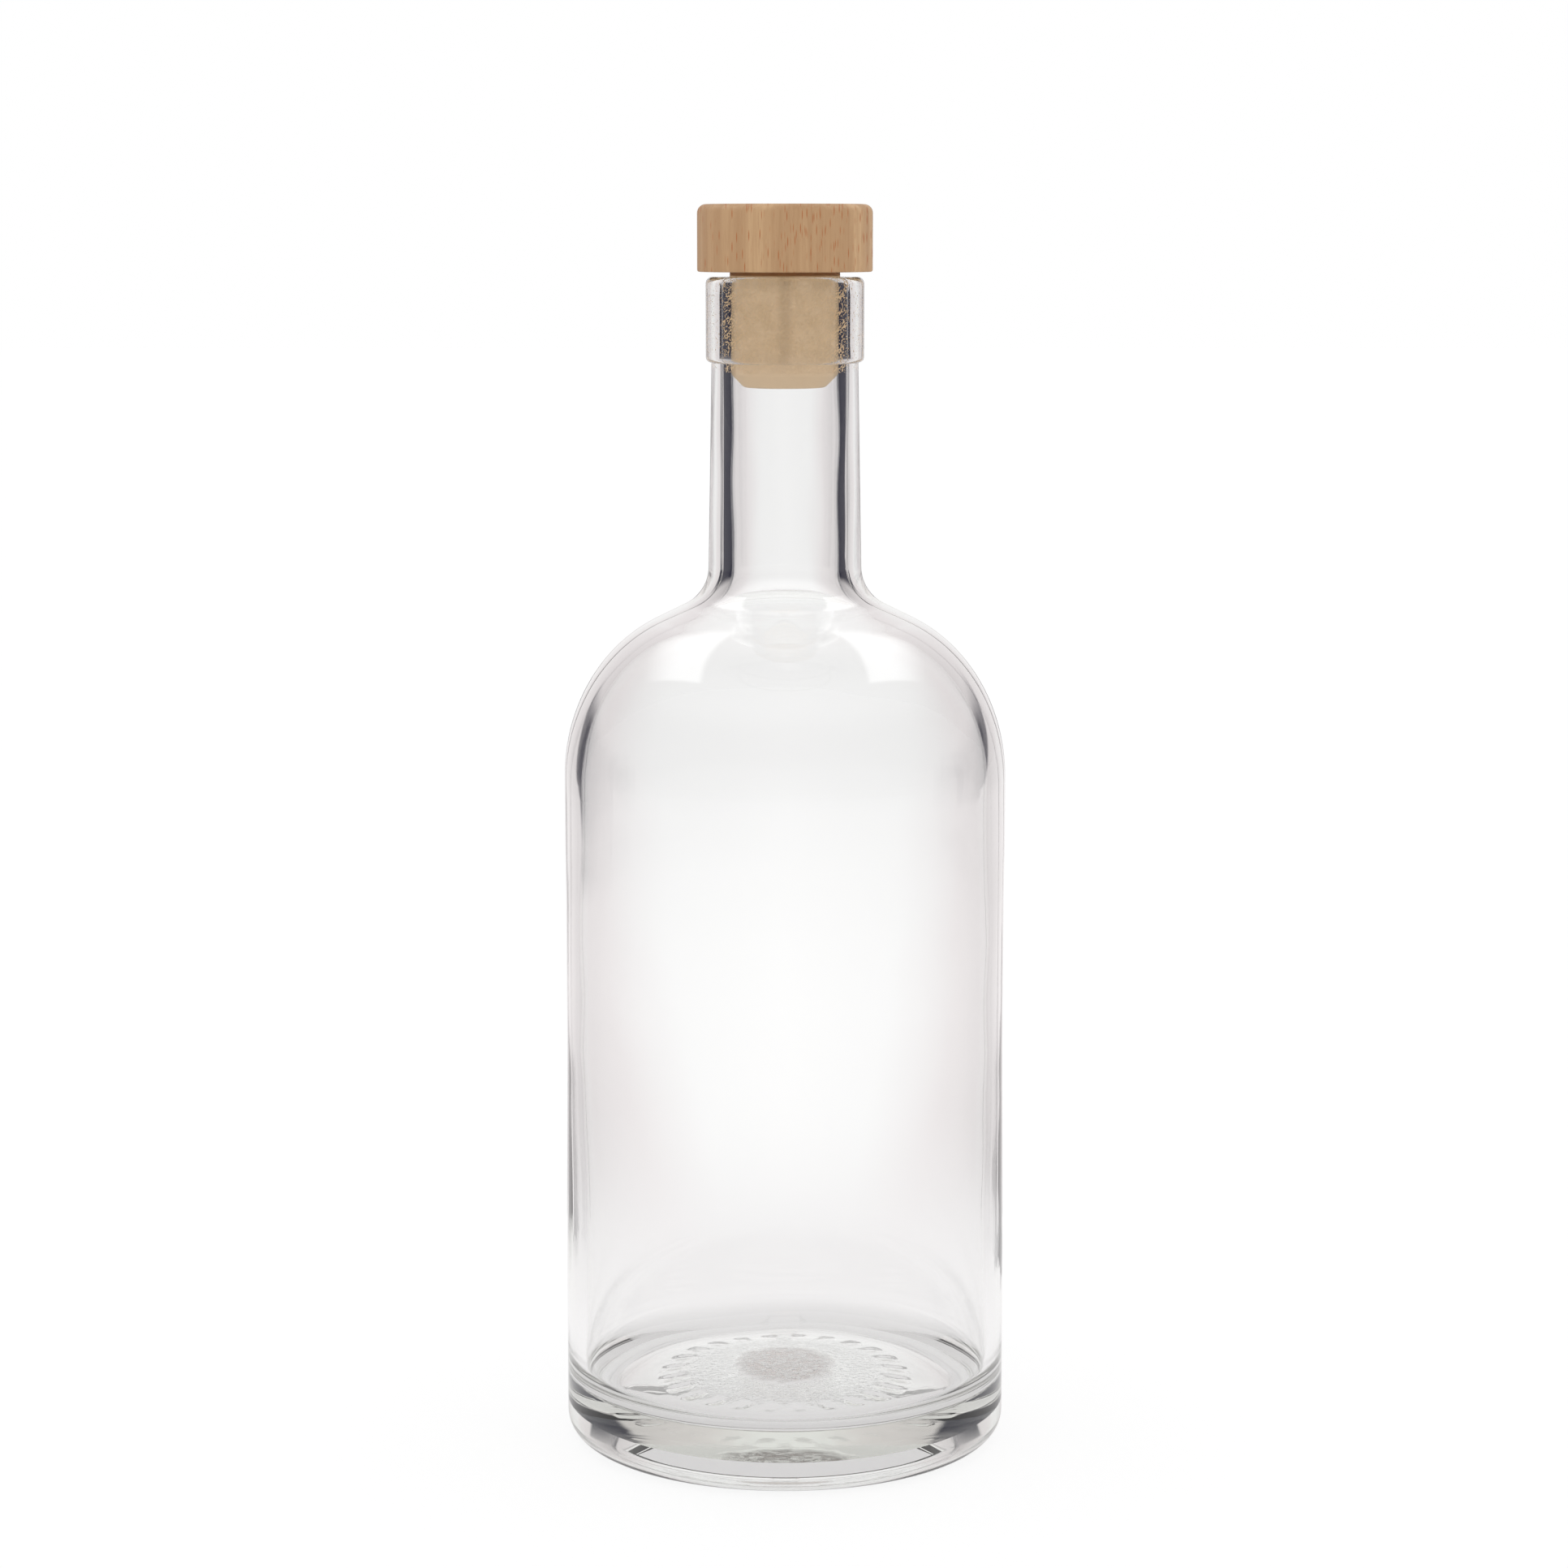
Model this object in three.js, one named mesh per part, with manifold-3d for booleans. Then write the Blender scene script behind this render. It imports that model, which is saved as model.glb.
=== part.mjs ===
// A round bottle of clear glass with a bar-top stopper: a turned beech head on a synthetic cork shank.
// Millimetres, +Z up. The origin is the centre of the ring that the bottle stands on.
import * as THREE from "three";
import { mergeVertices } from "three/addons/utils/BufferGeometryUtils.js";
import Module from "manifold-3d";

// Body, outside. The label panel is a shallow recess between a band at the heel and one under the shoulder.
const panelRadius = 42.85;
const heelBandRise = 0.45; // how far the heel band stands out past the panel
const shoulderBandRise = 0.12;
const heelRounding = 5.2;
const heelBandHeight = 34; // from the ground to the top of the heel band
const panelRun = 44; // the long, hardly visible slope from the heel band in to the panel
const panelHeight = 30;
const shoulderRun = 10; // the slope from the panel out to the shoulder band
const shoulderBandHeight = 14;

// Shoulder and neck, outside.
const shoulderReach = 30; // half width of the shoulder's quarter ellipse
const shoulderRise = 34; // and its height
const shoulderSlope = 26; // degrees from level, where the shoulder runs into the neck's hollow
const neckHollow = 8; // radius of the hollow between shoulder and neck
const neckFootRadius = 14.72;
const neckTopRadius = 14.05;
const neckHeight = 39.3;

// Collar at the mouth.
const collarRadius = 15.12;
const collarHeight = 16.4;
const collarTopRounding = 1.3;
const collarFootRounding = 1.1;

// Inside.
const boreRadius = 10.4;
const mouthRounding = 0.8;
const bodyWall = 3;
const floorHeight = 11.2; // the floor's lowest ring, above the ground
const floorRise = 4.1; // the floor is domed by this much
const floorCorner = 6;

// Underside: the ring that it stands on, a steep step up from it, and a shallow dome.
const standRingWidth = 3.8;
const stepHeight = 4.8;
const stepWidth = 1.5;
const pushUpRise = 2.9;

// Notch in the inside of the standing ring at the back, which lines the bottle up when it is printed.
const notchWidth = 5;
const notchHeight = 3.6;
const notchDepth = 1.9;

// Stopper.
const headRadius = 16.85;
const headHeight = 12.85;
const headTopRounding = 1.7;
const headFootRounding = 0.4;
const headLift = 0.95; // open gap between the glass rim and the head
const shankRadius = 10.6; // where it stands free, above the glass
const shankReach = 22.1; // below the head
const shankChamferWidth = 2.5;
const shankChamferHeight = 2.65;
const socketDepth = 6.3; // blind hole in the head that the shank is glued into

// Clearances.
const boreGap = 0.3; // round the shank in the glass bore
const glueGap = 0.3; // round the shank and above it in the head's socket

// Facets: the sides of each turned piece, and the steps of the arcs in its outline.
const glassSides = 60;
const stopperSides = 48;
const shoulderSteps = 10;
const hollowSteps = 5;
const domeSteps = 4;
const cornerSteps = 5;
const edgeSteps = 3;

// Sizes that follow from those above.
const heelRadius = panelRadius + heelBandRise;
const shoulderRadius = panelRadius + shoulderBandRise;
const standRadius = heelRadius - heelRounding;
const ringInside = standRadius - standRingWidth;
const cavityRadius = panelRadius - bodyWall;
const panelFoot = heelBandHeight + panelRun;
const panelTop = panelFoot + panelHeight;
const shoulderFoot = panelTop + shoulderRun + shoulderBandHeight;
const slope = THREE.MathUtils.degToRad(shoulderSlope);
const socketRadius = shankRadius + glueGap;

const point = (r, z) => new THREE.Vector2(r, z);

// An elliptical arc in the outline, from one angle to another in degrees; 0 points away from the axis.
function arc(r, z, reach, rise, from, to, steps) {
  const start = THREE.MathUtils.degToRad(from);
  const end = THREE.MathUtils.degToRad(to);
  return new THREE.EllipseCurve(r, z, reach, rise, start, end, end < start).getPoints(steps);
}

const roundArc = (r, z, radius, from, to, steps) => arc(r, z, radius, radius, from, to, steps);

// A shallow dome from the axis out to its edge at (edgeRadius, z), rising towards the axis.
function dome(edgeRadius, z, rise) {
  const radius = (edgeRadius ** 2 + rise ** 2) / (2 * rise);
  const edge = THREE.MathUtils.radToDeg(Math.acos(edgeRadius / radius));
  const points = roundArc(0, z + rise - radius, radius, 90, edge, domeSteps);
  points[0].x = 0;
  return points;
}

// Moves each point of an upward outline in by the glass's thickness at its height.
function inset(points, thicknessAt) {
  return points.map((here, i) => {
    const before = points[Math.max(i - 1, 0)];
    const after = points[Math.min(i + 1, points.length - 1)];
    const along = after.clone().sub(before).normalize();
    const outward = point(along.y, -along.x);
    return here.clone().addScaledVector(outward, -thicknessAt(here.y));
  });
}

// The shoulder: a quarter ellipse as far as its slope, a straight run, and the hollow up to the neck.
function shoulderOutline() {
  const sweep = Math.atan2(shoulderRise * Math.cos(slope), shoulderReach * Math.sin(slope));
  const centreR = shoulderRadius - shoulderReach;
  const dip = 90 - shoulderSlope;
  const sweepDegrees = THREE.MathUtils.radToDeg(sweep);
  const ellipse = arc(centreR, shoulderFoot, shoulderReach, shoulderRise, 0, sweepDegrees, shoulderSteps);
  const top = ellipse[ellipse.length - 1];
  const hollowR = neckFootRadius + neckHollow;
  const hollowFootR = hollowR - neckHollow * Math.sin(slope);
  const hollowFootZ = top.y + (top.x - hollowFootR) * Math.tan(slope);
  const hollowZ = hollowFootZ + neckHollow * Math.cos(slope);
  return [...ellipse, ...roundArc(hollowR, hollowZ, neckHollow, 180 + dip, 180, hollowSteps)];
}

const shoulder = shoulderOutline();
const neckFoot = shoulder[shoulder.length - 1].y;
const collarFoot = neckFoot + neckHeight;
const rim = collarFoot + collarHeight;

function glassOutside() {
  const heel = roundArc(standRadius, heelRounding, heelRounding, -90, 0, cornerSteps);
  const footR = collarRadius - collarFootRounding;
  const topR = collarRadius - collarTopRounding;
  const footEdge = roundArc(footR, collarFoot + collarFootRounding, collarFootRounding, -90, 0, edgeSteps);
  const topEdge = roundArc(topR, rim - collarTopRounding, collarTopRounding, 0, 90, edgeSteps);
  return [
    ...heel,
    point(heelRadius, heelBandHeight),
    point(panelRadius, panelFoot),
    point(panelRadius, panelTop),
    point(shoulderRadius, panelTop + shoulderRun),
    ...shoulder,
    point(neckTopRadius, collarFoot),
    ...footEdge,
    ...topEdge,
  ];
}

function glassInside() {
  const neckWall = neckFootRadius - boreRadius;
  const thicknessAt = (z) =>
    THREE.MathUtils.mapLinear(z, shoulderFoot, neckFoot, shoulderRadius - cavityRadius, neckWall);
  const mouth = roundArc(boreRadius + mouthRounding, rim - mouthRounding, mouthRounding, 90, 180, edgeSteps);
  const floorRadius = cavityRadius - floorCorner;
  const corner = roundArc(floorRadius, floorHeight + floorCorner, floorCorner, 0, -90, cornerSteps);
  const floor = dome(floorRadius, floorHeight, floorRise).reverse();
  return [...mouth, ...inset(shoulder, thicknessAt).reverse(), ...corner, ...floor.slice(1)];
}

function undersideOutline() {
  return [...dome(ringInside - stepWidth, stepHeight, pushUpRise), point(ringInside, 0)];
}

function headOutline() {
  const footR = headRadius - headFootRounding;
  const topR = headRadius - headTopRounding;
  const foot = roundArc(footR, headFootRounding, headFootRounding, -90, 0, edgeSteps);
  const top = roundArc(topR, headHeight - headTopRounding, headTopRounding, 0, 90, cornerSteps);
  return [
    point(0, socketDepth),
    point(socketRadius, socketDepth),
    point(socketRadius, 0),
    ...foot,
    ...top,
    point(0, headHeight),
  ];
}

// The shank's outline hangs down from the head's underside at z = 0. The glass squeezes it below the rim.
function shankOutline() {
  const squeezed = boreRadius - boreGap;
  const foot = -shankReach;
  return [
    point(0, foot),
    point(squeezed - shankChamferWidth, foot),
    point(squeezed, foot + shankChamferHeight),
    point(squeezed, -headLift - mouthRounding),
    point(shankRadius, -headLift),
    point(shankRadius, socketDepth - glueGap),
    point(0, socketDepth - glueGap),
  ];
}

function lathe(outline, sides) {
  return new THREE.LatheGeometry(outline, sides).rotateX(Math.PI / 2);
}

const wasm = await Module();
wasm.setup();

function solidOf(geometry) {
  const bare = geometry.clone();
  bare.deleteAttribute("normal");
  bare.deleteAttribute("uv");
  const merged = mergeVertices(bare, 1e-3);
  return new wasm.Manifold(new wasm.Mesh({
    numProp: 3,
    vertProperties: merged.attributes.position.array,
    triVerts: new Uint32Array(merged.index.array),
  }));
}

function geometryOf(solid) {
  const mesh = solid.getMesh();
  const geometry = new THREE.BufferGeometry();
  geometry.setAttribute("position", new THREE.BufferAttribute(mesh.vertProperties, 3));
  geometry.setIndex(new THREE.BufferAttribute(mesh.triVerts, 1));
  geometry.computeVertexNormals();
  return geometry;
}

// The block that the notch is cut with: half of it lies in the standing ring at the back, and half inside.
function notchBlock() {
  const block = new THREE.BoxGeometry(notchWidth, 2 * notchDepth, 2 * notchHeight);
  return block.translate(0, ringInside, 0);
}

function bottleGeometry() {
  const blown = solidOf(lathe([...undersideOutline(), ...glassOutside(), ...glassInside()], glassSides));
  return geometryOf(blown.subtract(solidOf(notchBlock())));
}

function finish(color, roughness) {
  return new THREE.MeshStandardMaterial({ color, roughness, metalness: 0 });
}

function piece(name, geometry, material) {
  const mesh = new THREE.Mesh(geometry, material);
  mesh.name = name;
  return mesh;
}

const glass = finish("#e6ebea", 0.05);
glass.transparent = true;
glass.opacity = 0.35;

const stopper = new THREE.Group();
stopper.position.z = rim + headLift;
stopper.add(
  piece("stopper_head", lathe(headOutline(), stopperSides), finish("#c39a6b", 0.6)),
  piece("stopper_shank", lathe(shankOutline(), stopperSides), finish("#c8ac7f", 0.75)),
);

const bottle = new THREE.Group();
bottle.add(piece("bottle", bottleGeometry(), glass), stopper);

export default bottle;
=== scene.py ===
import math

import bpy
import numpy as np
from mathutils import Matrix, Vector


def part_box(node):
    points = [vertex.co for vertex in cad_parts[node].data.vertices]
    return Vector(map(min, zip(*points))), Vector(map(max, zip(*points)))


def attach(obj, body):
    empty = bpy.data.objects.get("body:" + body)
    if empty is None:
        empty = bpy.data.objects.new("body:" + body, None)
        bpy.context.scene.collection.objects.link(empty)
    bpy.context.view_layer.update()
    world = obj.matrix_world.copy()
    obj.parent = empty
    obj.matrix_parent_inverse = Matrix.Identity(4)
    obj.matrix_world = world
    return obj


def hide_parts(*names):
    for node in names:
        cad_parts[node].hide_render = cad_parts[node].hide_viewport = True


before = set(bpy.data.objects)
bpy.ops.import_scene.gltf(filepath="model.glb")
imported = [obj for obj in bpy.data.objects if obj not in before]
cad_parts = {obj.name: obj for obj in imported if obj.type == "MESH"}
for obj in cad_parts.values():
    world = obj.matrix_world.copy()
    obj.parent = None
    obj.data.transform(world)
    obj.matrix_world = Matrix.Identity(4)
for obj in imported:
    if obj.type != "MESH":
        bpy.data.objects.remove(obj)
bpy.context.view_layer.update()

mm = 0.001  # settings are written as millimetres and used in metres
rng = np.random.default_rng(41)

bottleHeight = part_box("bottle")[1][2]
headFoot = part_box("stopper_head")[0][2]
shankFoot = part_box("stopper_shank")[0][2]
print("stage: frame loaded, rim at", round(bottleHeight, 5))


# arcs and outlines, as rows of (radius, height)

def arc(r, z, reach, rise, start, end, steps):
    # an ellipse's quarter or less: centre plus reach times the cosine and rise times the sine
    turn = np.radians(np.linspace(start, end, steps + 1))
    return np.column_stack([r + reach * np.cos(turn), z + rise * np.sin(turn)])


def dome(edge, z, rise, steps):
    # a shallow cap from the axis out: the height falls with the square of the radius
    r = np.linspace(0, edge, steps + 1)
    return np.column_stack([r, z + rise * (1 - (r / edge) ** 2)])


def evenSteps(outline, longest):
    # splits each stretch into equal parts, none longer than the given length
    stretch = np.diff(outline, axis=0)
    parts = np.maximum(1, np.ceil(np.hypot(*stretch.T) / longest - 1e-6).astype(int))
    share = np.concatenate([np.arange(n) / n for n in parts])
    fine = np.repeat(outline[:-1], parts, axis=0) + np.repeat(stretch, parts, axis=0) * share[:, None]
    return np.vstack([fine, outline[-1]])


def smooth(x, low, high):
    # eases from 0 at low to 1 at high
    t = np.clip((x - low) / (high - low), 0, 1)
    return t * t * (3 - 2 * t)


def band(x, middle, width, soft):
    # 1 within a band, easing to 0 over soft on both sides
    return 1 - smooth(np.abs(x - middle), width / 2, width / 2 + soft)


def ripple(turn, z, waves, low, high, length):
    # a sum of seeded waves round and along the axis, mostly within -1 to 1
    total = np.zeros(np.broadcast(turn, z).shape)
    for _ in range(waves):
        around = rng.integers(low, high + 1)
        along = rng.uniform(0.5, 1.6) / length * rng.choice([-1, 1])
        total += rng.uniform(0.5, 1) * np.sin(around * turn + 2 * math.pi * (along * z + rng.random()))
    return total / math.sqrt(waves)


def swept(outline, turn):
    # the outline's radius and height at every turn, as grids with one row for each of its points
    return [outline[:, k][:, None] * np.ones_like(turn) for k in (0, 1)]


def turnedPiece(name, r, z, turn):
    # a surface of revolution whose first and last rows are poles on the axis; faces point outwards
    rows, sides = r.shape
    ring = np.stack([r * np.cos(turn), r * np.sin(turn), z], axis=2)[1:-1].reshape(-1, 3)
    points = np.vstack([[0, 0, z[0].mean()], ring, [0, 0, z[-1].mean()]])
    here = 1 + np.arange((rows - 3) * sides).reshape(rows - 3, sides)
    beside = np.roll(here, -1, axis=1)
    quads = np.stack([here, beside, beside + sides, here + sides], axis=2).reshape(-1, 4)
    first = 1 + np.arange(sides)
    last = first + (rows - 3) * sides
    top = len(points) - 1
    caps = np.vstack([
        np.column_stack([np.zeros(sides, int), np.roll(first, -1), first]),
        np.column_stack([np.full(sides, top), last, np.roll(last, -1)]),
    ])
    mesh = bpy.data.meshes.new(name)
    mesh.from_pydata(points.tolist(), [], quads.tolist() + caps.tolist())
    mesh.shade_smooth()
    mesh.set_sharp_from_angle(angle=math.radians(35))
    mesh.update()
    piece = bpy.data.objects.new(name, mesh)
    bpy.context.scene.collection.objects.link(piece)
    print("stage:", name, 2 * len(quads) + len(caps), "triangles")
    return piece


def evenlyTurned(name, outline, sides):
    turn = np.linspace(0, 2 * math.pi, sides, endpoint=False)[None, :]
    return turnedPiece(name, *swept(outline, turn), turn)


# materials

def newMaterial(name):
    made = bpy.data.materials.new(name)
    made.use_nodes = True
    return made, made.node_tree, made.node_tree.nodes["Principled BSDF"]


def newGlow(name):
    # a material that still has only its output node, for what shines by itself
    made, tree, shader = newMaterial(name)
    tree.nodes.remove(shader)
    return made, tree


def addNode(tree, kind, **values):
    made = tree.nodes.new(kind)
    for key, value in values.items():
        if hasattr(made, key):
            setattr(made, key, value)
        else:
            made.inputs[key.replace("_", " ")].default_value = value
    return made


def placed(tree, scale=(1, 1, 1), turn=(0, 0, 0)):
    # object coordinates through a mapping
    where = addNode(tree, "ShaderNodeTexCoord")
    mapping = addNode(tree, "ShaderNodeMapping", Scale=scale, Rotation=turn)
    tree.links.new(where.outputs["Object"], mapping.inputs["Vector"])
    return mapping.outputs["Vector"]


def noise(tree, vector, scale, detail=3.0, roughness=0.55):
    made = addNode(tree, "ShaderNodeTexNoise", Scale=scale, Detail=detail, Roughness=roughness)
    tree.links.new(vector, made.inputs["Vector"])
    return made.outputs["Fac"]


def rangeOf(tree, value, fromLow, fromHigh, toLow=0.0, toHigh=1.0):
    made = tree.nodes.new("ShaderNodeMapRange")
    made.interpolation_type = "SMOOTHSTEP"
    for socket, number in zip(list(made.inputs)[1:5], (fromLow, fromHigh, toLow, toHigh)):
        socket.default_value = number
    tree.links.new(value, made.inputs["Value"])
    return made.outputs["Result"]


def math2(tree, kind, a, b):
    made = tree.nodes.new("ShaderNodeMath")
    made.operation = kind
    for socket, value in zip(made.inputs, (a, b)):
        if isinstance(value, (int, float)):
            socket.default_value = value
        else:
            tree.links.new(value, socket)
    return made.outputs["Value"]


def mixed(tree, factor, a, b, kind="MIX"):
    made = tree.nodes.new("ShaderNodeMix")
    made.data_type = "RGBA"
    made.blend_type = kind
    for socket, value in ((made.inputs["Factor"], factor), (made.inputs["A"], a), (made.inputs["B"], b)):
        if isinstance(value, (int, float)):
            socket.default_value = value
        elif isinstance(value, tuple):
            socket.default_value = (*value, 1)
        else:
            tree.links.new(value, socket)
    return made.outputs["Result"]


def split(tree, vector):
    # a vector's X, Y and Z
    apart = tree.nodes.new("ShaderNodeSeparateXYZ")
    tree.links.new(vector, apart.inputs["Vector"])
    return [apart.outputs[axis] for axis in "XYZ"]


def lengthOf(tree, a, b):
    # the root of the sum of two squares
    squares = math2(tree, "ADD", math2(tree, "POWER", a, 2), math2(tree, "POWER", b, 2))
    return math2(tree, "POWER", squares, 0.5)


def bumped(tree, shader, height, strength, distance):
    made = addNode(tree, "ShaderNodeBump", Strength=strength, Distance=distance)
    tree.links.new(height, made.inputs["Height"])
    tree.links.new(made.outputs["Normal"], shader.inputs["Normal"])


# the blown bottle

glass = {
    "panelRadius": 42.85 * mm, "heelBandRise": 0.45 * mm, "shoulderBandRise": 0.12 * mm,
    "heelRounding": 5.2 * mm, "heelBandHeight": 34 * mm, "panelRun": 44 * mm, "panelHeight": 30 * mm,
    "shoulderRun": 10 * mm, "shoulderBandHeight": 14 * mm,
    "shoulderReach": 30 * mm, "shoulderRise": 34 * mm, "shoulderSlope": 26, "neckHollow": 8 * mm,
    "neckFootRadius": 14.72 * mm, "neckTopRadius": 14.05 * mm, "neckHeight": 39.3 * mm,
    "collarRadius": 15.12 * mm, "collarHeight": 16.4 * mm,
    "collarTopRounding": 1.3 * mm, "collarFootRounding": 1.1 * mm,
    "boreRadius": 10.4 * mm, "mouthRounding": 0.8 * mm, "bodyWall": 3 * mm,
    "floorHeight": 11.2 * mm, "floorRise": 4.1 * mm, "floorCorner": 6 * mm,
    "standRingWidth": 3.8 * mm, "stepHeight": 4.8 * mm, "stepWidth": 1.5 * mm, "pushUpRise": 2.9 * mm,
    "notchWidth": 5 * mm, "notchHeight": 3.6 * mm, "notchDepth": 1.9 * mm,
    "sides": 226, "longestStep": 2.6 * mm, "standStep": 0.32 * mm, "riserStep": 0.5 * mm,
    "notchReach": 3.1 * mm, "seamReach": 0.9 * mm,  # half the widths that finer sides cover
    "bodyRipple": 0.12 * mm, "neckRipple": 0.018 * mm, "outerRipple": 0.012 * mm,
    # how many waves a ripple has, how often they go up and down round the axis, and about how long they are
    "bodyWaves": (7, 1, 4, 110 * mm), "neckWaves": (9, 3, 9, 26 * mm), "outerWaves": (6, 2, 6, 60 * mm),
    # the heights over which the ripple sets in, ends, and turns from the body's into the neck's
    "rippleFrom": (14 * mm, 30 * mm), "rippleTo": (205 * mm, 220 * mm), "neckFrom": (140 * mm, 172 * mm),
    "seamRise": 0.09 * mm, "seamWidth": 0.5 * mm, "seamFrom": (6 * mm, 12 * mm), "partingDrop": 1.6 * mm,
    "softEdge": 0.4 * mm, "partingEdge": 0.3 * mm, "markEdge": 0.8 * mm,
    "markRise": 0.08 * mm, "markRadius": 21.5 * mm, "markLength": 2.6 * mm,
    "markCount": 24, "markShare": 0.3, "markFade": 0.12,  # shares of the turn from one bar to the next
    "spotRadius": 9.2 * mm, "spotLength": 1.2, "spotShift": 1.6 * mm, "spotTint": (1.0, 0.88, 0.83),
    "spotFade": 3 * mm, "spotRagged": 4 * mm, "cloudFade": (14 * mm, 26 * mm),
    "tint": (0.938, 0.942, 0.928), "tintDensity": 48.0, "ior": 1.52,
}


def heelRadius(g):
    return g["panelRadius"] + g["heelBandRise"]


def ringInside(g):
    # radius of the standing ring's inner edge
    return heelRadius(g) - g["heelRounding"] - g["standRingWidth"]


def shoulderOutline(g):
    # a quarter ellipse as far as its slope, a straight run, and the hollow up to the neck
    slope = math.radians(g["shoulderSlope"])
    reach, rise, hollow = g["shoulderReach"], g["shoulderRise"], g["neckHollow"]
    band = g["panelRadius"] + g["shoulderBandRise"]
    foot = g["heelBandHeight"] + g["panelRun"] + g["panelHeight"] + g["shoulderRun"] + g["shoulderBandHeight"]
    sweep = math.degrees(math.atan2(rise * math.cos(slope), reach * math.sin(slope)))
    ellipse = arc(band - reach, foot, reach, rise, 0, sweep, 30)
    hollowR = g["neckFootRadius"] + hollow
    runEnd = hollowR - hollow * math.sin(slope)
    runTop = ellipse[-1, 1] + (ellipse[-1, 0] - runEnd) * math.tan(slope)
    hollowZ = runTop + hollow * math.cos(slope)
    return np.vstack([ellipse, arc(hollowR, hollowZ, hollow, hollow, 270 - g["shoulderSlope"], 180, 14)])


def inset(outline, thickness):
    # moves each point in by the glass's thickness, square to the outline
    along = np.gradient(outline, axis=0)
    along /= np.hypot(*along.T)[:, None]
    outward = np.column_stack([along[:, 1], -along[:, 0]])
    return outline - outward * thickness[:, None]


def bottleOutline(g):
    heelR = heelRadius(g)
    standR = heelR - g["heelRounding"]
    cavityR = g["panelRadius"] - g["bodyWall"]
    panelFoot = g["heelBandHeight"] + g["panelRun"]
    panelTop = panelFoot + g["panelHeight"]
    shoulder = shoulderOutline(g)
    bandR = shoulder[0, 0]
    collarFoot = shoulder[-1, 1] + g["neckHeight"]
    footEdge, topEdge, mouthEdge = g["collarFootRounding"], g["collarTopRounding"], g["mouthRounding"]
    under = dome(ringInside(g) - g["stepWidth"], g["stepHeight"], g["pushUpRise"], 33)
    riser = evenSteps(np.vstack([under[-1], [ringInside(g), 0]]), g["riserStep"])
    stand = evenSteps(np.array([[ringInside(g), 0], [standR, 0]]), g["standStep"])
    heel = arc(standR, g["heelRounding"], g["heelRounding"], g["heelRounding"], -90, 0, 14)
    walls = np.array([
        [heelR, g["heelBandHeight"]], [g["panelRadius"], panelFoot], [g["panelRadius"], panelTop],
        [bandR, panelTop + g["shoulderRun"]]])
    collar = np.vstack([
        [[g["neckTopRadius"], collarFoot]],
        arc(g["collarRadius"] - footEdge, collarFoot + footEdge, footEdge, footEdge, -90, 0, 7),
        arc(g["collarRadius"] - topEdge, bottleHeight - topEdge, topEdge, topEdge, 0, 90, 8)])
    mouth = arc(g["boreRadius"] + mouthEdge, bottleHeight - mouthEdge, mouthEdge, mouthEdge, 90, 180, 7)
    share = (shoulder[:, 1] - shoulder[0, 1]) / (shoulder[-1, 1] - shoulder[0, 1])
    thickness = bandR - cavityR + share * (g["neckFootRadius"] - g["boreRadius"] - bandR + cavityR)
    inside = inset(shoulder, thickness)[::-1]
    floorR = cavityR - g["floorCorner"]
    corner = arc(floorR, g["floorHeight"] + g["floorCorner"], g["floorCorner"], g["floorCorner"], 0, -90, 13)
    floor = dome(floorR, g["floorHeight"], g["floorRise"], 26)[::-1]
    outside = np.vstack([heel, walls, shoulder, collar])
    outer = np.vstack([under, riser[1:-1], stand[:-1], evenSteps(outside, g["longestStep"])])
    inner = np.vstack([evenSteps(np.vstack([mouth[1:], inside, corner]), g["longestStep"]), floor[1:]])
    return outer, inner


def bottleTurns(g):
    # even sides, with finer ones where the notch and the two mould seams lie
    even = np.linspace(0, 2 * math.pi, g["sides"], endpoint=False)
    notch = math.pi / 2 + np.linspace(-1, 1, 17) * g["notchReach"] / g["panelRadius"]
    seams = [side + np.linspace(-1, 1, 7) * g["seamReach"] / g["panelRadius"] for side in (0.0, math.pi)]
    return np.unique(np.round(np.concatenate([even, notch, *seams]) % (2 * math.pi), 4))


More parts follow.
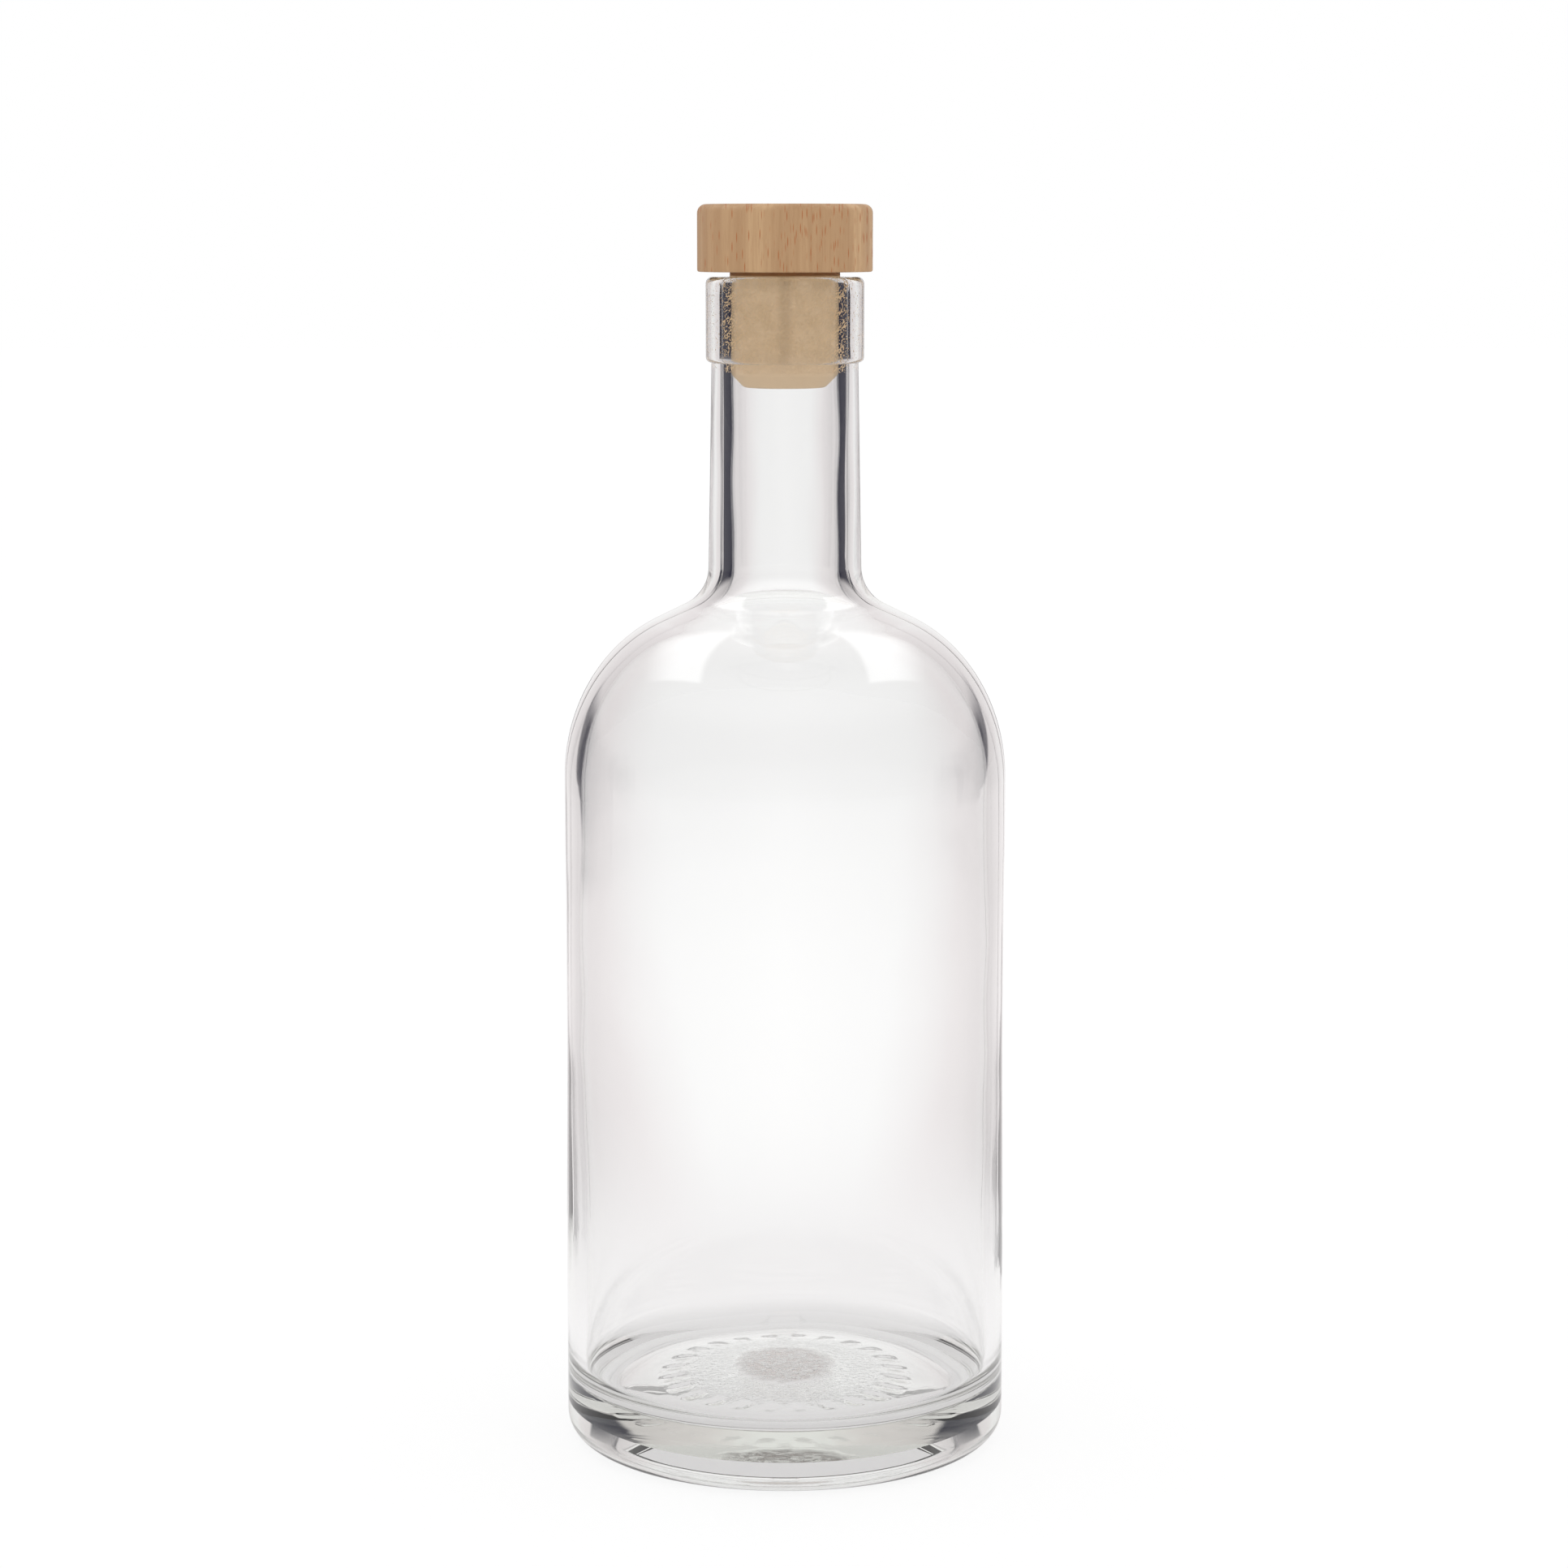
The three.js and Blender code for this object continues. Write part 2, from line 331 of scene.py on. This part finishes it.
def bottleSurface(g):
    outer, inner = bottleOutline(g)
    turn = bottleTurns(g)[None, :]
    r, z = swept(np.vstack([outer, inner]), turn)
    outside = (np.arange(len(r)) < len(outer))[:, None]

    # blown glass: the inside wanders slowly, most in the body, and the outside hardly at all
    wall = smooth(z, *g["rippleFrom"]) * (1 - smooth(z, *g["rippleTo"]))
    depth = g["bodyRipple"] + (g["neckRipple"] - g["bodyRipple"]) * smooth(z, *g["neckFrom"])
    r = r + np.where(outside, 0, wall * depth * ripple(turn, z, *g["bodyWaves"]))
    r = r + np.where(outside, 0, wall * g["neckRipple"] * ripple(turn, z, *g["neckWaves"]))
    r = r - np.where(outside, wall * g["outerRipple"] * (1 + ripple(turn, z, *g["outerWaves"])), 0)

    # the two halves of the mould leave a fine seam on both sides, and a ring under the collar
    aside = np.abs(np.sin(turn)) * r
    seam = band(aside, 0, g["seamWidth"], g["softEdge"]) * smooth(z, *g["seamFrom"])
    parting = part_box("bottle")[1][2] - g["collarHeight"] - g["partingDrop"]
    moulded = outside * (r > g["boreRadius"])
    r = r + moulded * g["seamRise"] * seam * (r < heelRadius(g) - g["seamRise"])
    r = r + moulded * g["seamRise"] * band(z, parting, g["seamWidth"] / 2, g["partingEdge"])

    # marks under the base: a ring of short plain bars
    under = outside * (z < g["stepHeight"] + g["pushUpRise"] + mm) * (r < heelRadius(g) - g["heelRounding"])
    spokes = band(((turn * g["markCount"] / (2 * math.pi)) % 1) - 0.5, 0, g["markShare"], g["markFade"])
    bars = spokes * band(r, g["markRadius"], g["markLength"], g["markEdge"])
    z = z - under * g["markRise"] * bars

    # the notch in the inside of the standing ring, at the back: the step moves out, and its foot lifts
    inside = ringInside(g)
    across = r * np.cos(turn)
    soft = g["softEdge"]
    cut = band(across, 0, g["notchWidth"] - soft, soft) * outside * (np.sin(turn) > 0)
    onStep = (z < g["notchHeight"]) * (r > inside - g["stepWidth"]) * (r < inside + g["notchDepth"])
    z = z + cut * onStep * (g["notchHeight"] - z)
    return r, z, turn


def glassMaterial(g):
    material, tree, shader = newMaterial("clearGlass")
    shader.inputs["Transmission Weight"].default_value = 1
    shader.inputs["IOR"].default_value = g["ior"]
    where = placed(tree)
    x, y, z = split(tree, where)

    # 1 on the dome under the base, from its edge's height to a little above its top
    foot, top = g["stepHeight"], g["stepHeight"] + g["pushUpRise"] + 1.3 * mm
    edge = ringInside(g) - g["stepWidth"]
    layer = math2(tree, "MULTIPLY", rangeOf(tree, z, top, top + 0.4 * mm, 1, 0),
                  rangeOf(tree, z, foot - 0.4 * mm, foot))
    fromAxis = lengthOf(tree, x, y)
    onDome = math2(tree, "MULTIPLY", layer, rangeOf(tree, fromAxis, edge - 0.2 * mm, edge + 0.2 * mm, 1, 0))

    # the stippled spot near its middle, longer from front to back, with a ragged edge
    along = math2(tree, "DIVIDE", math2(tree, "SUBTRACT", y, g["spotShift"]), g["spotLength"])
    ragged = math2(tree, "MULTIPLY", noise(tree, where, 500), g["spotRagged"])
    reach = math2(tree, "ADD", lengthOf(tree, along, x), ragged)
    rim = rangeOf(tree, reach, g["spotRadius"], g["spotRadius"] + g["spotFade"], 1, 0)
    spot = math2(tree, "MULTIPLY", onDome, rim)
    grains = noise(tree, where, 1000, 2)
    rough = math2(tree, "MULTIPLY", spot, rangeOf(tree, grains, 0.3, 0.7, 0.25, 0.75))
    speckle = math2(tree, "MULTIPLY", spot, rangeOf(tree, grains, 0.35, 0.65, 0.3, 1))
    tinted = mixed(tree, speckle, (1.0, 1.0, 1.0), g["spotTint"])
    tree.links.new(tinted, shader.inputs["Base Color"])

    # the mould leaves the glass faintly clouded round the spot, and all the rest is very nearly clear
    clouded = math2(tree, "MULTIPLY", onDome, rangeOf(tree, fromAxis, *g["cloudFade"], 1, 0))
    cloud = rangeOf(tree, noise(tree, where, 220), 0.3, 0.7, 0.02, 0.10)
    rough = math2(tree, "ADD", rough, math2(tree, "MULTIPLY", clouded, cloud))
    polish = rangeOf(tree, noise(tree, where, 90), 0.3, 0.7, 0.0, 0.004)
    tree.links.new(math2(tree, "ADD", rough, polish), shader.inputs["Roughness"])
    fine = math2(tree, "MULTIPLY", math2(tree, "ADD", spot, math2(tree, "MULTIPLY", clouded, 0.06)), grains)
    peel = math2(tree, "MULTIPLY", noise(tree, placed(tree, (1, 1, 0.35)), 160, 1), 0.02)
    bumped(tree, shader, math2(tree, "ADD", fine, peel), 1.0, 0.5 * mm)
    tint = addNode(tree, "ShaderNodeVolumeAbsorption", Color=(*g["tint"], 1), Density=g["tintDensity"])
    tree.links.new(tint.outputs["Volume"], tree.nodes["Material Output"].inputs["Volume"])
    return material


def makeBottle(g):
    r, z, turn = bottleSurface(g)
    bottle = turnedPiece("blown_bottle", r, z, turn)
    bottle.data.materials.append(glassMaterial(g))
    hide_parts("bottle")
    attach(bottle, "bottle")


makeBottle(glass)


# the turned beech head

head = {
    "radius": 16.85 * mm, "height": 12.85 * mm, "topRounding": 1.7 * mm, "footRounding": 0.4 * mm,
    "socketRadius": 10.9 * mm, "socketDepth": 6.3 * mm, "sides": 192, "longestStep": 0.7 * mm,
    "boardTurn": math.radians(-18),  # the face of the board is a little right of the front
    "pale": (0.515, 0.33, 0.177), "dark": (0.355, 0.20, 0.098), "fleck": (0.36, 0.11, 0.03),
    "fleckWidth": 0.38, "fleckHeight": 3.6, "fleckDepth": 14.0,
    # from left to right, where the painted shade on the head's left side is strongest and where it ends, and
    # where the rays crowd
    "paintedShadeSide": (-15 * mm, -3 * mm), "raySide": (-10 * mm, 10 * mm),
}


def headOutline(h):
    foot, top = h["footRounding"], h["topRounding"]
    return headFoot * np.array([[0, 1]]) + evenSteps(np.vstack([
        [[0, h["socketDepth"]], [h["socketRadius"], h["socketDepth"]], [h["socketRadius"], 0]],
        arc(h["radius"] - foot, foot, foot, foot, -90, 0, 5),
        arc(h["radius"] - top, h["height"] - top, top, top, 0, 90, 9),
        [[0, h["height"]]]]), h["longestStep"])


def beechMaterial(h):
    # grain runs up the axis: growth rings across it, rays as thin upright lenses, and fine pores
    material, tree, shader = newMaterial("beech")
    ringVector = placed(tree, (1, 1, 0.08), (0, 0, h["boardTurn"]))
    wander = noise(tree, ringVector, 120, 2)
    rings = addNode(tree, "ShaderNodeTexWave", wave_type="BANDS", bands_direction="Y", Scale=70.0,
                    Distortion=2.5, Detail=2.0, Detail_Scale=1.2)
    tree.links.new(ringVector, rings.inputs["Vector"])
    early = rangeOf(tree, rings.outputs["Fac"], 0.15, 0.95)
    ground = mixed(tree, math2(tree, "MULTIPLY", early, 0.6), h["pale"], h["dark"])
    streak = noise(tree, placed(tree, (1, 1, 0.05), (0, 0, h["boardTurn"])), 1200, 3)
    ground = mixed(tree, rangeOf(tree, streak, 0.35, 0.7, 0, 0.55), ground, h["dark"])
    ground = mixed(tree, rangeOf(tree, wander, 0.3, 0.75, 0, 0.35), ground, h["pale"])
    # painted shade: the head's left side is mixed towards the dark colour, and the rays lie closest on the
    # other side
    aside = split(tree, placed(tree))[0]
    ground = mixed(tree, rangeOf(tree, aside, *h["paintedShadeSide"], 0.5, 0), ground, h["dark"])
    # rays: cells narrow across, tall, and long towards the pith, with only their cores coloured
    rayScale = (1 / h["fleckWidth"], 1 / h["fleckDepth"], 1 / h["fleckHeight"])
    rayVector = placed(tree, rayScale, (0, 0, h["boardTurn"]))
    cells = addNode(tree, "ShaderNodeTexVoronoi", Scale=1000.0, Randomness=1.0)
    tree.links.new(rayVector, cells.inputs["Vector"])
    core = rangeOf(tree, cells.outputs["Distance"], 0.12, 0.38, 1, 0)
    pick = tree.nodes.new("ShaderNodeSeparateColor")
    tree.links.new(cells.outputs["Color"], pick.inputs["Color"])
    crowd = rangeOf(tree, aside, *h["raySide"], 0.0, 0.62)
    chosen = rangeOf(tree, math2(tree, "ADD", pick.outputs["Red"], crowd), 0.5, 0.75)
    flecks = math2(tree, "MULTIPLY", core, chosen)
    colour = mixed(tree, math2(tree, "MULTIPLY", flecks, 0.85), ground, h["fleck"])
    pores = noise(tree, placed(tree, (1, 1, 0.06)), 4200, 1)
    colour = mixed(tree, rangeOf(tree, pores, 0.56, 0.72, 0, 0.35), colour, h["dark"])
    tree.links.new(colour, shader.inputs["Base Color"])
    tree.links.new(rangeOf(tree, streak, 0.3, 0.7, 0.5, 0.66), shader.inputs["Roughness"])
    shader.inputs["Specular IOR Level"].default_value = 0.3
    relief = math2(tree, "ADD", math2(tree, "MULTIPLY", flecks, -0.6), math2(tree, "MULTIPLY", pores, -1.0))
    bumped(tree, shader, relief, 0.35, 0.06 * mm)
    return material


def makeHead(h):
    made = evenlyTurned("beech_head", headOutline(h), h["sides"])
    made.data.materials.append(beechMaterial(h))
    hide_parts("stopper_head")
    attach(made, "stopper")


makeHead(head)


# the synthetic cork shank

shank = {
    "radius": 10.6 * mm, "reach": 22.1 * mm, "boreRadius": 10.33 * mm, "mouthDrop": 0.8 * mm,
    "lift": 0.95 * mm, "chamferWidth": 2.5 * mm, "chamferHeight": 2.65 * mm, "chamferRounding": 0.7 * mm,
    "socketDepth": 6 * mm, "sides": 320, "longestStep": 0.22 * mm, "touch": 0.12 * mm, "touchShare": 0.42,
    "touchWaves": (12, 3, 16, 5 * mm), "touchSides": (0.91, 0.96),  # the cosine where the spots get few
    "pale": (0.90, 0.65, 0.40), "dark": (0.80, 0.56, 0.32), "seam": (0.62, 0.42, 0.235),
    "paintedFootLight": (1.0, 0.735, 0.47), "glued": (0.34, 0.15, 0.055), "seamWidth": 1.8 * mm,
    # where the painted light at the foot begins and where it is full
    "paintedFootLightFrom": 8 * mm, "paintedFootLightFull": 3 * mm,  # above the foot
}


def shankOutline(s):
    # the foot's two corners are eased by rounding them with a short parabola
    foot, soft = -s["reach"], s["chamferRounding"]
    low = np.array([s["boreRadius"] - s["chamferWidth"], foot])
    high = np.array([s["boreRadius"], foot + s["chamferHeight"]])
    slant = (high - low) / np.hypot(*(high - low))
    t = np.linspace(0, 1, 7)[:, None]
    rounds = []
    for corner, before, after in ((low, [-1, 0], slant), (high, -slant, [0, 1])):
        a, b = corner + soft * np.array(before), corner + soft * np.array(after)
        rounds.append((1 - t) ** 2 * a + 2 * t * (1 - t) * corner + t ** 2 * b)
    return headFoot * np.array([[0, 1]]) + evenSteps(np.vstack([
        [[0, foot]], *rounds, [[s["boreRadius"], -s["lift"] - s["mouthDrop"]], [s["radius"], -s["lift"]],
                               [s["radius"], s["socketDepth"]], [0, s["socketDepth"]]]]), s["longestStep"])


def shankMaterial(s):
    # foamed plastic: a soft mottle and fine closed pores; towards the foot it is painted paler, as painted
    # light on the lower end below the collar
    material, tree, shader = newMaterial("syntheticCork")
    where = placed(tree)
    mottle = noise(tree, where, 420, 4, 0.6)
    fine = noise(tree, where, 2600, 2)
    colour = mixed(tree, rangeOf(tree, mottle, 0.3, 0.7), s["dark"], s["pale"])
    colour = mixed(tree, rangeOf(tree, fine, 0.35, 0.7, 0, 0.5), colour, s["pale"])
    # the mould's seam is a shade darker, and above the rim, in the gap under the head, the cork is painted
    # browner as painted shade
    x, _, z = split(tree, where)
    beside = math2(tree, "ABSOLUTE", x, 0)
    seam = rangeOf(tree, beside, 0.1 * s["seamWidth"], s["seamWidth"], 0.5, 0)
    colour = mixed(tree, seam, colour, s["seam"])
    # painted light: the lower end is mixed towards a paler colour
    paintedFootLight = rangeOf(tree, z, shankFoot + s["paintedFootLightFull"], shankFoot + s["paintedFootLightFrom"], 1, 0)
    colour = mixed(tree, paintedFootLight, colour, s["paintedFootLight"])
    # painted shade in the narrow gap between the glass rim and the head
    glued = rangeOf(tree, z, headFoot - s["lift"], headFoot - 0.6 * s["lift"])
    colour = mixed(tree, glued, colour, s["glued"])
    tree.links.new(colour, shader.inputs["Base Color"])
    tree.links.new(rangeOf(tree, fine, 0.3, 0.7, 0.55, 0.8), shader.inputs["Roughness"])
    shader.inputs["Specular IOR Level"].default_value = 0.3
    bumped(tree, shader, math2(tree, "ADD", mottle, math2(tree, "MULTIPLY", fine, 0.5)), 0.5, 0.15 * mm)
    return material


def makeShank(s):
    made = evenlyTurned("cork_shank", shankOutline(s), s["sides"])
    # the glass presses on the cork in tiny spots all over the bore
    points = np.empty(len(made.data.vertices) * 3, np.float32)
    made.data.vertices.foreach_get("co", points)
    points = points.reshape(-1, 3)
    turn, z = np.arctan2(points[:, 1], points[:, 0]), points[:, 2]
    r = np.hypot(points[:, 0], points[:, 1])
    squeezed = (r > s["boreRadius"] - 0.05 * mm) * (z < headFoot - s["lift"] - s["mouthDrop"])
    crowded = 0.5 + 0.5 * np.clip(ripple(turn, z, *s["touchWaves"]), -1, 1)
    # only a few of them at the left and right, where the glass shows its smooth edges
    pressed = 1 - 0.85 * smooth(np.abs(np.cos(turn)), *s["touchSides"])
    patch = (rng.random(len(z)) < s["touchShare"] * pressed * (0.4 + 1.2 * crowded)) * squeezed * s["touch"]
    points[:, :2] *= (1 + patch / np.maximum(r, mm))[:, None]
    made.data.vertices.foreach_set("co", points.ravel())
    made.data.update()
    made.data.materials.append(shankMaterial(s))
    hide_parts("stopper_shank")
    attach(made, "stopper")


makeShank(shank)


# the studio

studio = {
    "cameraDistance": 0.740, "cameraAside": 0.00018, "cameraHeight": 0.2378,
    "tilt": math.radians(8.254), "lens": 87.73,
    "floorSize": 14.0, "shadowShare": 0.12, "fill": 1.06, "back": 1.08, "nearShare": 0.88,
    # metres over which the floor's painted light and shadow change: two ways back from the bottle, and two
    # round it
    "nearFade": (0.0, 0.42), "farFade": (0.36, 1.3), "closeFade": (0.10, 0.28), "underFade": (0.04, 0.075),
    # the studio's level by degrees round from straight behind the bottle
    "round": ((0, 1.02), (6, 1.0), (13, 0.88), (20, 0.82), (38, 0.68), (66, 0.44), (100, 0.38), (180, 0.46)),
    "lilac": (1.0, 0.95, 0.955), "far": 0.875, "closeLevel": (0.965, 0.95, 0.955), "underLevel": 0.81,
    "flagDistance": 0.72, "flagHeight": 0.34, "flagTo": 76,
    "leftFlagFrom": (43, 22), "rightFlagFrom": (56, 16),  # degrees at the flag's foot and at its top
    "flagShade": (0.003, 0.004, 0.022),
    # shares of a card's width or height over which it shows or fades
    "flagInner": (0.0, 0.07), "flagFoot": (0.0, 0.14), "flagTop": (0.64, 0.92),
    "softboxCrisp": (0.0, 0.08), "softboxFades": ((0.75, 1.0), (0.25, 1.0)), "softboxGlow": 3.0,
    "lampPower": 0.7, "lampSize": (0.46, 0.9), "lampAt": (0.40, -0.02, 0.95), "lampAim": 0.15,
    "softboxCorners": ((-0.70, -0.24, 1.15), (-0.14, 0.70, 1.15), (-0.88, 1.40, 1.15), (-1.40, 0.56, 1.15)),
}


def makeCamera(s):
    camera = bpy.data.objects.new("camera", bpy.data.cameras.new("camera"))
    camera.location = (-s["cameraAside"], -s["cameraDistance"], s["cameraHeight"])
    camera.rotation_euler = (math.pi / 2 - s["tilt"], 0, 0)
    camera.data.lens = s["lens"]
    camera.data.sensor_width = 36
    camera.data.clip_end = 50
    bpy.context.scene.collection.objects.link(camera)
    bpy.context.scene.camera = camera


def seenThrough(tree):
    # two switches: rays straight from the camera, and rays that show the background in or through the glass
    light = tree.nodes.new("ShaderNodeLightPath")
    through = math2(tree, "MAXIMUM", light.outputs["Is Glossy Ray"], light.outputs["Is Transmission Ray"])
    # light that falls on a matt surface through the glass is the plain fill
    plain = math2(tree, "LESS_THAN", light.outputs["Diffuse Depth"], 0.5)
    return light.outputs["Is Camera Ray"], math2(tree, "MULTIPLY", through, plain)


def shadeAround(tree, s, vector):
    # white behind the bottle, greyer towards the sides and dim in front, by the angle round the axis
    x, y, _ = split(tree, vector)
    angle = math2(tree, "ARCTAN2", math2(tree, "ABSOLUTE", x, 0), y)
    ramp = tree.nodes.new("ShaderNodeValToRGB")
    stops = ramp.color_ramp.elements
    while len(stops) < len(s["round"]):
        stops.new(0.5)
    for stop, (degrees, level) in zip(stops, s["round"]):
        stop.position = degrees / 180
        tinge = min(1, max(0, 8 * (1 - level)))  # the greys are lilac, and white is white
        stop.color = (*(level * (1 - tinge * (1 - c)) for c in s["lilac"]), 1)
    tree.links.new(math2(tree, "DIVIDE", angle, math.pi), ramp.inputs["Fac"])
    return ramp.outputs["Color"]


def makeWorld(s):
    world = bpy.data.worlds.new("studio")
    bpy.context.scene.world = world
    world.use_nodes = True
    tree = world.node_tree
    background = tree.nodes["Background"]
    straight, through = seenThrough(tree)
    where = tree.nodes.new("ShaderNodeTexCoord")
    around = shadeAround(tree, s, where.outputs["Generated"])
    room = mixed(tree, 1.0, around, (s["back"] * s["far"],) * 3, "MULTIPLY")
    shade = mixed(tree, through, (s["fill"],) * 3, room)
    tree.links.new(mixed(tree, straight, shade, (1, 1, 1)), background.inputs["Color"])
    background.inputs["Strength"].default_value = 1


def stageCard(name, corners, material, hidden=()):
    mesh = bpy.data.meshes.new(name)
    mesh.from_pydata(corners, [], [(0, 1, 2, 3)])
    mesh.uv_layers.new().data.foreach_set("uv", (0, 0, 1, 0, 1, 1, 0, 1))
    card = bpy.data.objects.new(name, mesh)
    card.data.materials.append(material)
    bpy.context.scene.collection.objects.link(card)
    for kind in hidden:
        setattr(card, "visible_" + kind, False)


def floorMaterial(s):
    # white where it is looked at straight, the studio's level in or through the glass, and for shadow a
    # share of real shading
    material, tree, shader = newMaterial("whiteFloor")
    straight, through = seenThrough(tree)
    shader.inputs["Base Color"].default_value = (0.98, 0.98, 0.98, 1)
    shader.inputs["Roughness"].default_value = 0.9
    shader.inputs["Specular IOR Level"].default_value = 0
    where = placed(tree)
    behind = split(tree, where)[1]
    # painted light and shadow in or through the glass: dimmer close behind the bottle as its painted shadow,
    # brightest some way back, dimmer again far off
    near = rangeOf(tree, behind, *s["nearFade"], s["nearShare"] * s["back"], s["back"])
    far = rangeOf(tree, behind, *s["farFade"], 1.0, s["far"])
    level = math2(tree, "MULTIPLY", near, far)
    # close round the bottle the floor is bright on all sides, and a little less so under it, as a painted
    # shadow of the bottle
    reach = tree.nodes.new("ShaderNodeVectorMath")
    reach.operation = "LENGTH"
    tree.links.new(where, reach.inputs[0])
    close = rangeOf(tree, reach.outputs["Value"], *s["closeFade"], 1, 0)
    under = rangeOf(tree, reach.outputs["Value"], *s["underFade"], s["underLevel"], 1)
    closeShade = mixed(tree, 1.0, s["closeLevel"], under, "MULTIPLY")
    around = mixed(tree, close, shadeAround(tree, s, where), closeShade)
    shade = mixed(tree, 1.0, around, level, "MULTIPLY")
    glow = tree.nodes.new("ShaderNodeEmission")
    tree.links.new(mixed(tree, straight, shade, (1, 1, 1)), glow.inputs["Color"])
    share = math2(tree, "MULTIPLY", math2(tree, "MAXIMUM", straight, through), 1 - s["shadowShare"])
    blend = tree.nodes.new("ShaderNodeMixShader")
    tree.links.new(share, blend.inputs["Fac"])
    tree.links.new(shader.outputs["BSDF"], blend.inputs[1])
    tree.links.new(glow.outputs["Emission"], blend.inputs[2])
    tree.links.new(blend.outputs["Shader"], tree.nodes["Material Output"].inputs["Surface"])
    return material


def faded(tree, share, shader):
    # shows the shader by the given share, and what is behind it by the rest
    clear = tree.nodes.new("ShaderNodeBsdfTransparent")
    blend = tree.nodes.new("ShaderNodeMixShader")
    tree.links.new(share, blend.inputs["Fac"])
    tree.links.new(clear.outputs["BSDF"], blend.inputs[1])
    tree.links.new(shader.outputs[0], blend.inputs[2])
    tree.links.new(blend.outputs["Shader"], tree.nodes["Material Output"].inputs["Surface"])


def onCard(tree):
    # two shares from a card's first corner: on to its second, and on to its last
    where = tree.nodes.new("ShaderNodeTexCoord")
    return split(tree, where.outputs["UV"])[:2]


def between(tree, share, rise, fall):
    # from 0 to 1 over the rise, and back to 0 over the fall
    return math2(tree, "MULTIPLY", rangeOf(tree, share, *rise), rangeOf(tree, share, *fall, 1, 0))


def flagMaterial(s):
    # a dark card whose inner edge, top and foot fade out
    material, tree = newGlow("darkFlag")
    across, up = onCard(tree)
    upright = between(tree, up, s["flagFoot"], s["flagTop"])
    share = math2(tree, "MULTIPLY", rangeOf(tree, across, *s["flagInner"]), upright)
    faded(tree, share, addNode(tree, "ShaderNodeEmission", Color=(*s["flagShade"], 1)))
    return material


def makeStage(s):
    half = s["floorSize"] / 2
    corners = [(-half, -half, 0), (half, -half, 0), (half, half, 0), (-half, half, 0)]
    stageCard("studio_floor", corners, floorMaterial(s))
    dark = flagMaterial(s)
    hidden = ("camera", "diffuse", "glossy", "shadow")
    for side, start, name in ((-1, s["leftFlagFrom"], "flag_left"), (1, s["rightFlagFrom"], "flag_right")):
        angles = np.radians([start[0], s["flagTo"], s["flagTo"], start[1]])
        heights = np.array([0, 0, 1, 1]) * s["flagHeight"]
        across, back = side * s["flagDistance"] * np.sin(angles), s["flagDistance"] * np.cos(angles)
        stageCard(name, np.column_stack([across, back, heights]).tolist(), dark, hidden)


def softboxMaterial(s):
    # crisp along the two edges that meet nearest to the camera, and fading towards the other two
    material, tree = newGlow("softbox")
    crisp, fades = s["softboxCrisp"], s["softboxFades"]
    shares = [between(tree, share, crisp, fade) for share, fade in zip(onCard(tree), fades)]
    glow = addNode(tree, "ShaderNodeEmission", Strength=s["softboxGlow"])
    faded(tree, math2(tree, "MULTIPLY", *shares), glow)
    return material


def makeSoftboxes(s):
    # lamps light the matt surfaces, and soft-edged cards stand for them in the glass
    x, y, z = s["lampAt"]
    glow = softboxMaterial(s)
    for side, name in ((-1, "left"), (1, "right")):
        lamp = bpy.data.lights.new("lamp_" + name, "AREA")
        lamp.shape = "RECTANGLE"
        lamp.size, lamp.size_y = s["lampSize"]
        lamp.energy = s["lampPower"]
        stand = bpy.data.objects.new("lamp_" + name, lamp)
        stand.location = (side * x, y, z)
        stand.rotation_euler = (0, side * math.atan2(x, z - s["lampAim"]), 0)
        stand.visible_camera = stand.visible_glossy = stand.visible_transmission = False
        bpy.context.scene.collection.objects.link(stand)
        corners = [(-side * cornerX, cornerY, cornerZ) for cornerX, cornerY, cornerZ in s["softboxCorners"]]
        stageCard("softbox_" + name, corners, glow, ("camera", "diffuse", "transmission", "shadow"))


makeCamera(studio)
makeWorld(studio)
makeStage(studio)
makeSoftboxes(studio)
print("stage: studio ready")

scene = bpy.context.scene
scene.view_settings.view_transform = "Standard"
scene.cycles.max_bounces = 24
scene.cycles.transmission_bounces = 24
scene.cycles.glossy_bounces = 12
